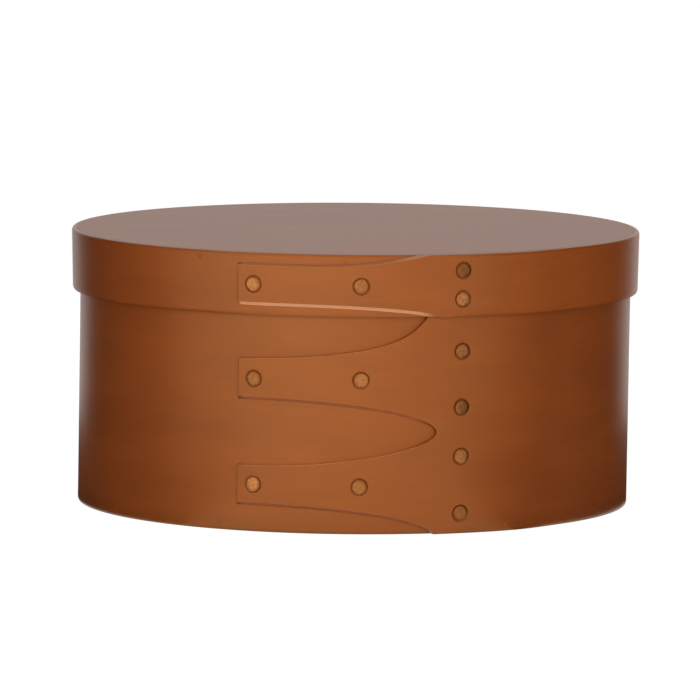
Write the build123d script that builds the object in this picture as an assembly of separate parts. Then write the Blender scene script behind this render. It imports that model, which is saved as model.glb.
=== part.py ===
from build123d import *
import os
from math import acos, atan2, cos, degrees, hypot, pi, radians, sin, tan

# Round bentwood cheese box with a lift-off lid.
# Each hoop is one strip of thin maple, steam-bent and lapped over itself at the front.
# The outer end of the strip is cut into long swallowtail fingers that point left, each finger
# is held by copper tacks clinched inside, and the inner end is shaved to a thin feather edge.
# A flat board is pressed into each hoop and held by wooden pegs driven in from outside.
# Millimetres, +Z up. The origin is on the axis of the side hoop, on the face that it stands on.
# The laps are at the front, towards -Y. Bearings are measured from the front towards +X, and
# places along a lap are arc lengths from the front line, on the outer surface of the lap.

# Box as a whole
body_diameter = 246.4
total_height = 122.4
lid_height = 27.2
lid_clearance = 0.6

# Strips
side_strip_thickness = 2.4
lid_strip_thickness = 2.0
layer_gap = 0.15
feather_thickness = 0.35

# Laps, along the strip from the front line
finger_end_place = -51.6
finger_end_bevel = 0.35
scarf_start_place = 72.0
scarf_length = 37.0

# Swallowtail cuts and fingers of the side hoop
lower_finger_height = 20.95
finger_pitch = 46.2
finger_end_width = 17.1
side_cut_tip_place = 36.6
side_cut_bevel = 0.5

# Finger of the lid hoop, in from the hoop's lower and upper edges at its end
lid_finger_lower_margin = 5.3
lid_finger_upper_margin = 5.1
lid_cut_tip_place = 34.0
lid_cut_bevel = 0.9

# Boards
bottom_board_thickness = 6.0
lid_board_thickness = 6.0
board_clearance = 0.05
board_edge_chamfer = 0.4

# Copper tacks
tack_head_diameter = 7.0
tack_head_sides = 18
tack_head_rim = 0.45
tack_head_thickness = 0.8
tack_head_flat_diameter = 5.4
tack_head_sink = 0.55
tack_seat_clearance = 0.3
tack_shank_width = 1.4
tack_point_width = 1.2
tack_point_tip_width = 0.4
tack_point_thickness = 0.55
tack_point_length = 3.8
tack_point_sink = 0.1
tack_clearance = 0.08

# Tack places along the laps: two columns on the fingers, counted from the finger end, and one
# row behind the cuts, counted from their tip
side_finger_tack_offsets = (6.9, 54.5)
side_row_tack_offset = 11.1
side_row_tack_heights = (8.8, 33.7, 55.2, 79.6)
lid_finger_tack_offsets = (6.5, 54.2)
lid_row_tack_offset = 14.0
lid_row_tack_lower_margin = 7.8
lid_row_tack_upper_margin = 7.0

# Whittled wooden pegs, tapered, driven in level with the strip
peg_count = 12
peg_sides = 8
peg_diameter = 2.0
peg_tip_diameter = 1.4
peg_length = 12.0
peg_clearance = 0.03
side_first_peg_bearing = -28.0
lid_first_peg_bearing = -32.0

# How far a cut runs past the wood that it cuts
overrun = 2.0

# Half of a swallowtail cut, as shares of its length back from the tip and of its half width
# at the finger ends
cut_curve_shares = ((0.0, 0.0), (0.0, 0.36), (0.354, 1.03), (1.0, 1.0))
# Sweeps from a finger's corner out to the strip's edge, as shares of the length from the
# finger end to the tip of the cuts and of the height between the corner and the edge
side_sweep_shares = ((0.0, 0.0), (0.809, 0.066), (0.963, 0.182), (1.03, 1.0))
lid_upper_sweep_shares = ((0.0, 0.0), (0.495, 0.0), (0.628, -0.2), (0.97, 1.0))
lid_lower_sweep_shares = ((0.0, 0.0), (0.324, 0.09), (0.72, 0.01), (1.03, 1.0))
# Where the ramp of a lap is given points, as shares of the scarf
scarf_point_shares = (0.0, 0.2, 0.4, 0.6, 0.8, 1.0)

# Side hoop, worked out from the sizes above
side_outer_radius = body_diameter / 2
side_inner_radius = side_outer_radius - side_strip_thickness
side_lap_step = side_strip_thickness + layer_gap
side_lap_radius = side_outer_radius + side_lap_step
side_height = total_height - lid_board_thickness
cut_half_width = (finger_pitch - finger_end_width) / 2
upper_finger_height = lower_finger_height + finger_pitch
upper_finger_top = upper_finger_height + finger_end_width / 2

# Lid hoop: wide enough for the side hoop's lap, and set forward over it by half its step
lid_inner_radius = side_outer_radius + side_lap_step / 2 + lid_clearance
lid_outer_radius = lid_inner_radius + lid_strip_thickness
lid_lap_step = lid_strip_thickness + layer_gap
lid_lap_radius = lid_outer_radius + lid_lap_step
lid_bottom = total_height - lid_height
lid_finger_bottom = lid_bottom + lid_finger_lower_margin
lid_finger_top = total_height - lid_finger_upper_margin
lid_finger_height = (lid_finger_bottom + lid_finger_top) / 2
lid_row_tack_heights = (
    lid_bottom + lid_row_tack_lower_margin,
    total_height - lid_row_tack_upper_margin,
)
lid_shift_bearing = (finger_end_place + scarf_start_place) / 2 / side_lap_radius
lid_centre = Pos(
    side_lap_step / 2 * sin(lid_shift_bearing), -side_lap_step / 2 * cos(lid_shift_bearing), 0
)


def plan_point(bearing, radius):
    """Point of the plan at a bearing from the front and a distance from the hoop's axis."""
    return (radius * sin(bearing), -radius * cos(bearing))


def plan_arc(start_bearing, end_bearing, radius):
    """Arc of the plan round the hoop's axis."""
    middle_bearing = (start_bearing + end_bearing) / 2
    bearings = (start_bearing, middle_bearing, end_bearing)
    return ThreePointArc(*[plan_point(bearing, radius) for bearing in bearings])


def scarf_curve(start_bearing, scarf_angle, start_radius, drop, last_share):
    """Ramp of the plan that drops as half a cosine wave, as far as the last share of it."""
    points = []
    for point_share in scarf_point_shares:
        share = point_share * last_share
        radius = start_radius - drop * (1 - cos(pi * share)) / 2
        points.append(plan_point(start_bearing + share * scarf_angle, radius))
    end_bearing = start_bearing + last_share * scarf_angle
    end_radius = start_radius - drop * (1 - cos(pi * last_share)) / 2
    end_slope = -drop * pi * sin(pi * last_share) / 2 / scarf_angle
    start_tangent = (cos(start_bearing), sin(start_bearing))
    end_tangent = (
        end_radius * cos(end_bearing) + end_slope * sin(end_bearing),
        end_radius * sin(end_bearing) - end_slope * cos(end_bearing),
    )
    return Spline(*points, tangents=(start_tangent, end_tangent))


def lapped_strip(inner_radius, thickness, bottom, height):
    """One strip bent into a hoop, its square end outside and its feathered end inside."""
    outer_radius = inner_radius + thickness
    under_lap = outer_radius + layer_gap
    over_lap = under_lap + thickness
    step = thickness + layer_gap
    end = finger_end_place / over_lap
    bevelled_end = (finger_end_place + finger_end_bevel) / over_lap
    scarf_start = scarf_start_place / over_lap
    scarf_angle = scarf_length / over_lap
    scarf_end = scarf_start + scarf_angle
    feather_share = acos(1 - 2 * (thickness - feather_thickness) / step) / pi
    feather = scarf_start + feather_share * scarf_angle
    outline = [
        Line(plan_point(end, under_lap), plan_point(bevelled_end, over_lap)),
        plan_arc(bevelled_end, scarf_start, over_lap),
        scarf_curve(scarf_start, scarf_angle, over_lap, step, 1),
        plan_arc(scarf_end, pi, outer_radius),
        plan_arc(pi, 2 * pi + scarf_start, outer_radius),
        scarf_curve(scarf_start, scarf_angle, outer_radius, step, feather_share),
        Line(plan_point(feather, inner_radius + feather_thickness), plan_point(feather, inner_radius)),
        plan_arc(2 * pi + feather, pi, inner_radius),
        plan_arc(pi, scarf_end, inner_radius),
        scarf_curve(scarf_start, scarf_angle, under_lap, step, 1),
        plan_arc(scarf_start, end, under_lap),
    ]
    return Pos(0, 0, bottom) * extrude(make_face(outline), height)


def sheet_plane(depth):
    """Upright plane in front of a hoop's axis, with its +X to the right and its +Y up."""
    return Plane(origin=(0, -depth, 0), x_dir=(1, 0, 0), z_dir=(0, -1, 0))


def radial_cutter(draw_outline, lap_radius, thickness, bevel):
    """Solid whose walls run out from the hoop's axis and open outwards by the bevel.

    Its two ends are outlines on upright planes, one behind the lap and one in front of it.
    Across gives where the ray through a place on the lap meets such a plane. Flare gives how
    far the outline spreads there, so that a wall is true to size on the lap's outer surface.
    """
    near = (lap_radius - thickness) * cos(finger_end_place / lap_radius) - overrun
    far = lap_radius + overrun
    ends = []
    for depth in (near, far):
        across = lambda place: depth * tan(place / lap_radius)
        flare = lambda x: bevel * (hypot(x, depth) - lap_radius) / thickness
        ends.append(sheet_plane(depth) * make_face(draw_outline(across, flare)))
    return loft(ends, ruled=True)


def swallowtail_outline(across, flare, tip_place, middle_height, half_width):
    """Pointed arch between two fingers, open past their ends."""
    tip = across(tip_place)
    end = across(finger_end_place)
    past = end - overrun
    sides = []
    corners = []
    for side in (1, -1):
        points = []
        for back, spread in cut_curve_shares:
            x = tip - back * (tip - end)
            grown_half = half_width + flare(x)
            points.append((x + (1 - back) * flare(tip), middle_height + side * spread * grown_half))
        sides.append(Bezier(*points))
        corners.append(points[-1])
    (upper, lower) = corners
    rest = [upper, (past, upper[1]), (past, lower[1]), lower]
    return sides + [Line(a, b) for a, b in zip(rest, rest[1:])]


def sweep_outline(across, flare, shares, tip_place, corner_height, edge_height):
    """Wood on the open side of a sweep, from a finger's corner to the strip's edge."""
    way = 1 if edge_height > corner_height else -1
    tip = across(tip_place)
    end = across(finger_end_place)
    past = end - overrun
    beyond = edge_height + way * overrun
    points = []
    for along, up in shares:
        x = end + along * (tip - end)
        rise = up * (edge_height - corner_height)
        points.append((x + up * flare(tip), corner_height + rise - way * (1 - up) * flare(x)))
    corner = points[0]
    edge = points[-1]
    rest = [edge, (edge[0], beyond), (past, beyond), (past, corner[1]), corner]
    return [Bezier(*points)] + [Line(a, b) for a, b in zip(rest, rest[1:])]


def cut_lap(strip, cutters, single_radius):
    """Cut through the outer layer of a lap alone."""
    core = Cylinder(single_radius + layer_gap / 2, 2 * total_height + 4 * overrun)
    for cutter in cutters:
        strip = strip - (cutter - core)
    return strip


def side_cuts():
    """The cuts between, below and above the fingers of the side hoop."""
    outlines = [
        lambda across, flare: swallowtail_outline(
            across, flare, side_cut_tip_place, lower_finger_height - finger_pitch / 2, cut_half_width
        ),
        lambda across, flare: swallowtail_outline(
            across, flare, side_cut_tip_place, lower_finger_height + finger_pitch / 2, cut_half_width
        ),
        lambda across, flare: sweep_outline(
            across, flare, side_sweep_shares, side_cut_tip_place, upper_finger_top, side_height
        ),
    ]
    return [
        radial_cutter(outline, side_lap_radius, side_strip_thickness, side_cut_bevel)
        for outline in outlines
    ]


def lid_cuts():
    """The sweeps above and below the finger of the lid hoop."""
    outlines = [
        lambda across, flare: sweep_outline(
            across, flare, lid_upper_sweep_shares, lid_cut_tip_place, lid_finger_top, total_height
        ),
        lambda across, flare: sweep_outline(
            across, flare, lid_lower_sweep_shares, lid_cut_tip_place, lid_finger_bottom, lid_bottom
        ),
    ]
    return [
        radial_cutter(outline, lid_lap_radius, lid_strip_thickness, lid_cut_bevel)
        for outline in outlines
    ]


def outward(bearing, height, radius):
    """Frame on a hoop's surface, with its +Z out from the axis and its +Y up."""
    x_dir = (cos(bearing), sin(bearing), 0)
    z_dir = (sin(bearing), -cos(bearing), 0)
    return Plane(origin=(0, 0, height), x_dir=x_dir, z_dir=z_dir).offset(radius)


def tack_point_outline(growth):
    """Outline of the bent-over point, which runs to the left from the shank and tapers."""
    half = tack_point_width / 2 + growth
    tip_half = tack_point_tip_width / 2 + growth
    tip = -tack_point_length - growth
    return make_face(Polyline((0, -half), (0, half), (tip, tip_half), (tip, -tip_half), close=True))


def tack(lap_thickness):
    """Copper tack through two layers: head outside, point clinched flat in the inner face.

    The hammer leaves the head many-sided and flat, with a bevelled rim. The shank is square.
    """
    under_head = lap_thickness - tack_head_sink
    rim = tack_head_thickness - tack_head_rim
    bevel = (tack_head_diameter - tack_head_flat_diameter) / 2
    head_outline = RegularPolygon(tack_head_diameter / 2, tack_head_sides)
    straight_part = extrude(head_outline, tack_head_rim)
    bevelled_part = extrude(head_outline, rim, taper=degrees(atan2(bevel, rim)))
    head = Pos(0, 0, under_head) * (straight_part + Pos(0, 0, tack_head_rim) * bevelled_part)
    shank = extrude(Rectangle(tack_shank_width, tack_shank_width), under_head - tack_point_sink)
    point = extrude(tack_point_outline(0), tack_point_thickness)
    return head + Pos(0, 0, tack_point_sink) * (shank + point)


def tack_cutter(lap_thickness):
    """Hole, head seat and point groove that take one tack."""
    hole_width = tack_shank_width + 2 * tack_clearance
    seat_radius = tack_head_diameter / 2 + tack_seat_clearance
    seat_floor = lap_thickness - tack_head_sink
    groove_depth = tack_point_sink + tack_point_thickness + tack_clearance
    hole = extrude(Rectangle(hole_width, hole_width), overrun + seat_floor)
    groove = extrude(tack_point_outline(tack_clearance), overrun + groove_depth)
    seat = extrude(RegularPolygon(seat_radius, tack_head_sides), overrun)
    return Pos(0, 0, -overrun) * (hole + groove) + Pos(0, 0, seat_floor) * seat


def side_tack_frames():
    """Where the side hoop's tacks stand, on the inner face of the lap."""
    places = [
        (finger_end_place + offset, height)
        for offset in side_finger_tack_offsets
        for height in (upper_finger_height, lower_finger_height)
    ]
    row_place = side_cut_tip_place + side_row_tack_offset
    places += [(row_place, height) for height in side_row_tack_heights]
    return [outward(place / side_lap_radius, height, side_inner_radius) for place, height in places]


def lid_tack_frames():
    """Where the lid hoop's tacks stand, on the inner face of the lap."""
    places = [(finger_end_place + offset, lid_finger_height) for offset in lid_finger_tack_offsets]
    row_place = lid_cut_tip_place + lid_row_tack_offset
    places += [(row_place, height) for height in lid_row_tack_heights]
    return [outward(place / lid_lap_radius, height, lid_inner_radius) for place, height in places]


def peg_frames(first_bearing, height, single_radius, lap_radius, cut_tip_place):
    """Where a hoop's pegs stand, level with the strip: over the lap only behind the cuts."""
    frames = []
    for index in range(peg_count):
        bearing = radians(first_bearing + index * 360 / peg_count)
        place = bearing * lap_radius
        scarf_share = min(max((place - scarf_start_place) / scarf_length, 0), 1)
        lap_share = (1 + cos(pi * scarf_share)) / 2 if place > cut_tip_place else 0
        radius = single_radius + lap_share * (lap_radius - single_radius)
        frames.append(outward(bearing, height, radius))
    return frames


def side_peg_frames():
    """Pegs through the side hoop, half way up the edge of the bottom board."""
    return peg_frames(
        side_first_peg_bearing,
        bottom_board_thickness / 2,
        side_outer_radius,
        side_lap_radius,
        side_cut_tip_place,
    )


def lid_peg_frames():
    """Pegs through the lid hoop, half way up the edge of the lid board."""
    return peg_frames(
        lid_first_peg_bearing,
        total_height - lid_board_thickness / 2,
        lid_outer_radius,
        lid_lap_radius,
        lid_cut_tip_place,
    )


def peg(growth, extra_length):
    """Whittled, tapered peg, driven towards the hoop's axis, its broad end outside."""
    narrowing = (peg_diameter - peg_tip_diameter) / 2 / peg_length
    length = extra_length + peg_length + growth
    broad_end = RegularPolygon(peg_diameter / 2 + growth + narrowing * extra_length, peg_sides)
    taper = degrees(atan2(narrowing, 1))
    return Pos(0, 0, extra_length) * Rot(180, 0, 0) * extrude(broad_end, length, taper=taper)


def cut_at(solid, cutter, frames):
    """The solid with one copy of the cutter taken out at each frame."""
    for frame in frames:
        solid = solid - frame * cutter
    return solid


def strip_with_holes(strip, lap_thickness, tack_frames, frames_of_pegs):
    """A strip, drilled for its tacks and pegs."""
    strip = cut_at(strip, tack_cutter(lap_thickness), tack_frames)
    return cut_at(strip, peg(peg_clearance, overrun), frames_of_pegs)


def side_band():
    """Side hoop of the box, as high as the box without the lid's board."""
    strip = lapped_strip(side_inner_radius, side_strip_thickness, 0, side_height)
    strip = cut_lap(strip, side_cuts(), side_outer_radius)
    return strip_with_holes(
        strip, side_lap_radius - side_inner_radius, side_tack_frames(), side_peg_frames()
    )


def lid_band():
    """Hoop of the lid, about its own axis."""
    strip = lapped_strip(lid_inner_radius, lid_strip_thickness, lid_bottom, lid_height)
    strip = cut_lap(strip, lid_cuts(), lid_outer_radius)
    return strip_with_holes(
        strip, lid_lap_radius - lid_inner_radius, lid_tack_frames(), lid_peg_frames()
    )


def board(inner_radius, thickness, bottom, frames_of_pegs):
    """Round board that a hoop is pressed on to, with a softened edge and holes for its pegs."""
    disc = Cylinder(inner_radius - board_clearance, thickness)
    disc = chamfer(disc.edges().filter_by(GeomType.CIRCLE), board_edge_chamfer)
    disc = Pos(0, 0, bottom + thickness / 2) * disc
    return cut_at(disc, peg(peg_clearance, overrun), frames_of_pegs)


nodes = {
    "side_band": side_band(),
    "bottom_board": board(side_inner_radius, bottom_board_thickness, 0, side_peg_frames()),
    "lid_band": lid_centre * lid_band(),
    "lid_board": lid_centre
    * board(lid_inner_radius, lid_board_thickness, side_height, lid_peg_frames()),
}
for number, frame in enumerate(side_tack_frames(), 1):
    nodes[f"side_tack_{number}"] = frame * tack(side_lap_radius - side_inner_radius)
for number, frame in enumerate(lid_tack_frames(), 1):
    nodes[f"lid_tack_{number}"] = lid_centre * (frame * tack(lid_lap_radius - lid_inner_radius))
for number, frame in enumerate(side_peg_frames(), 1):
    nodes[f"bottom_peg_{number:02d}"] = frame * peg(0, 0)
for number, frame in enumerate(lid_peg_frames(), 1):
    nodes[f"lid_peg_{number:02d}"] = lid_centre * (frame * peg(0, 0))

os.makedirs("parts", exist_ok=True)
for name, solid in nodes.items():
    export_step(solid, f"parts/{name}.step")
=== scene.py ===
from math import cos, pi, radians, sin, tan

import bpy
import numpy as np
from mathutils import Matrix, Vector
from mathutils.geometry import delaunay_2d_cdt


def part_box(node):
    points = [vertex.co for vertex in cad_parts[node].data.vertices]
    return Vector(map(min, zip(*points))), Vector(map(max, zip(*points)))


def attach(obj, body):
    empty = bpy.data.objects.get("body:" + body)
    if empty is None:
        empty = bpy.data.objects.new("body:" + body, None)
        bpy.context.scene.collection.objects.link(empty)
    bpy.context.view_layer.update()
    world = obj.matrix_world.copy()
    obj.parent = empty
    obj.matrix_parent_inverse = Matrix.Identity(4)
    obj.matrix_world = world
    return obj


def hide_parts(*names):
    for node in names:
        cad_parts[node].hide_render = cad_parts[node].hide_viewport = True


# Round bentwood cheese box: two lapped hoops of stained maple with copper tacks, and two boards.
# Shapes are worked out in millimetres and put into the meshes in metres.
# A place is an arc length along a lap from the front line, to the right, on the lap's outer face.

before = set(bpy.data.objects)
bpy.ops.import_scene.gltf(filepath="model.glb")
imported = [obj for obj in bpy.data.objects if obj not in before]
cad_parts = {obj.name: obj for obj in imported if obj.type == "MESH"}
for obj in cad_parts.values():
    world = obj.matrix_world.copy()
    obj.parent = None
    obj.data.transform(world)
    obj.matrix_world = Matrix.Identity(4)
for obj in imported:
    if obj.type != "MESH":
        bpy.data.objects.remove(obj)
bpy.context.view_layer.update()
millimetre = 0.001


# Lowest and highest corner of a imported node, in millimetres
def nodeBox(node):
    low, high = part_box(node)
    return np.array(low) / millimetre, np.array(high) / millimetre


# Linear colour of an sRGB hex value
def linearColour(hexCode):
    parts = np.array([int(hexCode[at:at + 2], 16) for at in (0, 2, 4)]) / 255
    linear = np.where(parts <= 0.04045, parts / 12.92, ((parts + 0.055) / 1.055) ** 2.4)
    return (*linear, 1.0)


# One shader node, with its settings, and its inputs as links or fixed values
def addNode(tree, kind, inputs=None, **settings):
    node = tree.nodes.new(kind)
    for name, value in settings.items():
        setattr(node, name, value)
    for socket, value in (inputs or {}).items():
        if isinstance(value, bpy.types.NodeSocket):
            tree.links.new(value, node.inputs[socket])
        else:
            node.inputs[socket].default_value = value
    return node


# The emptied node tree of a new material or world
def emptyTree(owner):
    owner.use_nodes = True
    owner.node_tree.nodes.clear()
    return owner.node_tree


# A new object in the scene
def addObject(name, data):
    made = bpy.data.objects.new(name, data)
    bpy.context.scene.collection.objects.link(made)
    return made


# Half a cosine wave from 0 to 1, held at its ends
def ease(share):
    return (1 - np.cos(pi * np.clip(share, 0, 1))) / 2


# Quads between the rows of a grid of point numbers whose rows close on themselves
def closedQuads(index):
    beside = np.roll(index, -1, axis=1)
    return np.stack([index[:-1], index[1:], beside[1:], beside[:-1]], axis=-1).reshape(-1, 4).tolist()


# Triangles from the first and last row of such a grid to two poles, numbered after its points
def poleCaps(index):
    beside = np.roll(index, -1, axis=1)
    pole = np.full(index.shape[1], index.size)
    first = np.stack([pole, index[0], beside[0]], axis=1)
    last = np.stack([pole + 1, beside[-1], index[-1]], axis=1)
    return first.tolist() + last.tolist()


# Hoops

sideHoop = {
    "band": "side_band",
    "board": "bottom_board",
    "body": "box",
    "thickness": 2.4,
    "layerGap": 0.15,
    "featherThickness": 0.35,
    "fingerEnd": -51.8,
    "cutTip": 36.6,
    "joinPlace": 60.0,
    "scarfStart": 72.0,
    "scarfLength": 37.0,
    "fingerHeight": 20.95,
    "fingerPitch": 46.2,
    "fingerWidth": 17.1,
    "cutRaise": 0.35,
    "cutBevel": 1.3,
    "tipBevel": 0.3,
    # Painted highlight on the bevels of the downward arches
    "archHighlight": 0.18,
    "highlightFade": 9.0,            # length at a tip where the bevel and its painted highlight fade, and painted shade takes over
    "upwardBevel": 0.05,
    # Painted highlight along the upward cuts
    "upwardHighlight": 0.3,
    "sweepShade": (30.0, 54.0),    # distances from the sweep's top where its painted shade ends
    "archShade": (6.0, 16.0),
    # Painted shade near the tips of the upward cuts
    "tipPaintedShade": 0.45,
    "endBevel": 0.8,
    # Painted shade at the finger ends
    "endPaintedShade": 1.0,
    "rounding": 0.22,
    "topRounding": (0.4, 0.4),     # depth and reach
    "footRounding": (0.5, 1.2),
    # Painted contact shadow at the foot
    "footPaintedShade": 0.8,
    "paintedSideLight": None,
    "coneSlope": 0.0,
    "leanSlope": 0.008,
    "waver": 0.05,
    "ovalness": 0.0,
    "sideShift": -0.2,
    "tackPlaces": (                # place and height
        (-44.8, 67.15),
        (-44.4, 20.95),
        (2.9, 67.5),
        (2.9, 20.95),
        (48.2, 8.8),
        (48.2, 33.7),
        (48.2, 55.2),
        (48.1, 79.6),
    ),
}

lidHoop = {
    "band": "lid_band",
    "board": "lid_board",
    "body": "lid",
    "thickness": 2.0,
    "layerGap": 0.15,
    "featherThickness": 0.35,
    "fingerEnd": -52.2,
    "cutTip": 34.0,
    "joinPlace": 60.0,
    "scarfStart": 72.0,
    "scarfLength": 37.0,
    "fingerLowerMargin": 5.0,
    "fingerUpperMargin": 5.1,
    "upwardBevel": 0.8,
    # Painted highlight and painted shade along the upper cut
    "upwardHighlight": 0.3,
    "upwardPaintedShade": 0.05,
    "lowerCutBevel": 1.35,
    # Length at the lower cut's tip where its painted highlight fades
    "highlightFade": 12.0,
    "endBevel": 0.5,
    # Painted shade at the finger's end
    "endPaintedShade": 0.2,
    "rounding": 0.22,
    "topRounding": (1.1, 1.6),
    "footRounding": (0.6, 1.5),
    # Painted shade at the foot
    "footPaintedShade": 0.05,
    "paintedSideLight": (62.0, 20.0, 420.0, 150.0),    # painted light on the wood from here, rise, to here, fall
    "coneSlope": 0.022,
    "leanSlope": 0.0,
    "waver": 0.04,
    "ovalness": 0.35,
    "sideShift": -0.1,
    "tackPlaces": (
        (-45.1, 108.9),
        (2.6, 108.9),
        (48.0, 103.0),
        (48.0, 115.4),
    ),
}

boardClearance = 0.05
waverWaves = ((2, 1.0, 0.7), (5, 0.6, 2.1))    # waves in a turn, share and phase


# Radii, heights and centre of a hoop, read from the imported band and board
def measureHoop(hoop):
    low, high = nodeBox(hoop["band"])
    boardLow, boardHigh = nodeBox(hoop["board"])
    hoop["centre"] = (boardLow + boardHigh)[:2] / 2
    hoop["bottom"], hoop["top"] = low[2], high[2]
    hoop["innerRadius"] = (boardHigh - boardLow)[0] / 2 + boardClearance
    hoop["step"] = hoop["thickness"] + hoop["layerGap"]
    hoop["outerRadius"] = hoop["innerRadius"] + hoop["thickness"]
    hoop["lapRadius"] = hoop["outerRadius"] + hoop["step"]
    hoop["lapThickness"] = hoop["lapRadius"] - hoop["innerRadius"]
    if "fingerPitch" in hoop:
        half = hoop["fingerWidth"] / 2
        middles = (hoop["fingerHeight"], hoop["fingerHeight"] + hoop["fingerPitch"])
        hoop["fingers"] = [(middle - half, middle + half) for middle in middles]
    else:
        hoop["fingers"] = [(
            hoop["bottom"] + hoop["fingerLowerMargin"], hoop["top"] - hoop["fingerUpperMargin"],
        )]


# Outer and inner radius of the strip at a bearing that runs on past one turn: both step in by one
# layer along half a cosine, the outer once before and once after the turn, the inner once
def stripRadii(hoop, bearing):
    start = hoop["scarfStart"] / hoop["lapRadius"]
    length = hoop["scarfLength"] / hoop["lapRadius"]
    first = ease((bearing - start) / length)
    second = ease((bearing - 2 * pi - start) / length)
    outer = hoop["lapRadius"] - hoop["step"] * (first + second)
    inner = hoop["lapRadius"] - hoop["thickness"] - hoop["step"] * first
    return outer, inner


# A point of the flat pattern bent round the hoop: place over radius is its bearing, and its depth
# goes in from the outer face in the strip's own thickness there
def bend(hoop, place, depth, height):
    bearing = place / hoop["lapRadius"]
    outer, inner = stripRadii(hoop, bearing)
    radius = outer - depth * (outer - inner) / hoop["thickness"]
    return setOut(hoop, bearing, radius, height)


# Bearing, radius and height as x, y and z in metres. The radius grows with height by the cone's
# slope and with the bearing by a few cosine waves, and x shifts with height by the lean.
def setOut(hoop, bearing, radius, height):
    up = height - (hoop["bottom"] + hoop["top"]) / 2
    waves = sum(share * np.cos(count * bearing + phase) for count, share, phase in waverWaves)
    waver = hoop["waver"] * waves + hoop["ovalness"] * np.cos(2 * bearing)
    radius = radius * (1 + (hoop["coneSlope"] * up + waver) / hoop["lapRadius"])
    lean = hoop["sideShift"] + hoop["leanSlope"] * up
    x = hoop["centre"][0] + radius * np.sin(bearing) + lean
    y = hoop["centre"][1] - radius * np.cos(bearing)
    return np.stack(np.broadcast_arrays(x, y, height), axis=-1) * millimetre


# Outlines of the cuts, in the flat pattern. Each curve has four control points, as shares of the
# cut's length from the finger's end and of its rise.

cutTopShares = ((1.0, 0.0), (1.0, 0.46), (0.646, 1.04), (0.0, 1.0))
cutFootShares = ((1.0, 0.0), (1.0, 0.36), (0.646, 1.05), (0.0, 1.04))
sideSweepShares = ((0.0, 0.0), (0.809, 0.066), (0.963, 0.182), (1.03, 1.0))
lidUpperSweepShares = ((0.0, 0.0), (0.495, 0.0), (0.628, -0.2), (0.97, 1.0))
lidLowerSweepShares = ((0.0, 0.0), (0.324, 0.06), (0.69, -0.12), (1.06, 1.0))


# Points of a cubic curve through its four control points, evenly by parameter
def bezier(points, count):
    t = np.linspace(0, 1, count + 1)[:, None]
    a, b, c, d = [np.array(point, float) for point in points]
    return a * (1 - t) ** 3 + 3 * b * t * (1 - t) ** 2 + 3 * c * t ** 2 * (1 - t) + d * t ** 3


# A curve drawn on a flat sheet in front of the lap, and laid on it: its place is the radius times
# the angle whose tangent is its distance over the radius
def sheetCurve(hoop, shares, startHeight, rise, count=56):
    radius = hoop["lapRadius"]
    end = radius * tan(hoop["fingerEnd"] / radius)
    tip = radius * tan(hoop["cutTip"] / radius)
    points = [(end + along * (tip - end), startHeight + up * rise) for along, up in shares]
    curve = bezier(points, count)
    curve[:, 0] = radius * np.arctan(curve[:, 0] / radius)
    return curve


# Evenly spaced points of a straight run
def straight(start, end, spacing=1.6):
    start, end = np.array(start, float), np.array(end, float)
    count = max(1, int(round(np.linalg.norm(end - start) / spacing)))
    return start + np.linspace(0, 1, count + 1)[:, None] * (end - start)


# The part of a falling curve above a level, ended on the level
def clipAbove(curve, level):
    last = int(np.argmax(curve[:, 1] < level))
    before, after = curve[last - 1], curve[last]
    share = (before[1] - level) / (before[1] - after[1])
    return np.vstack([curve[:last], before + share * (after - before)])


# Share for each edge of a cut, 1 along it and falling to nothing over a reach at its right tip
def fadeToTip(curve, reach):
    middles = (curve[1:, 0] + curve[:-1, 0]) / 2
    return ease((curve[:, 0].max() - middles) / reach)


# Share for each edge of a cut, 1 near its first point, the tip, and falling between two distances
def shadeAtTip(curve, reach):
    distance = np.linalg.norm(curve[1:] - curve[0], axis=1)
    return ease((reach[1] - distance) / (reach[1] - reach[0]))


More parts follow.
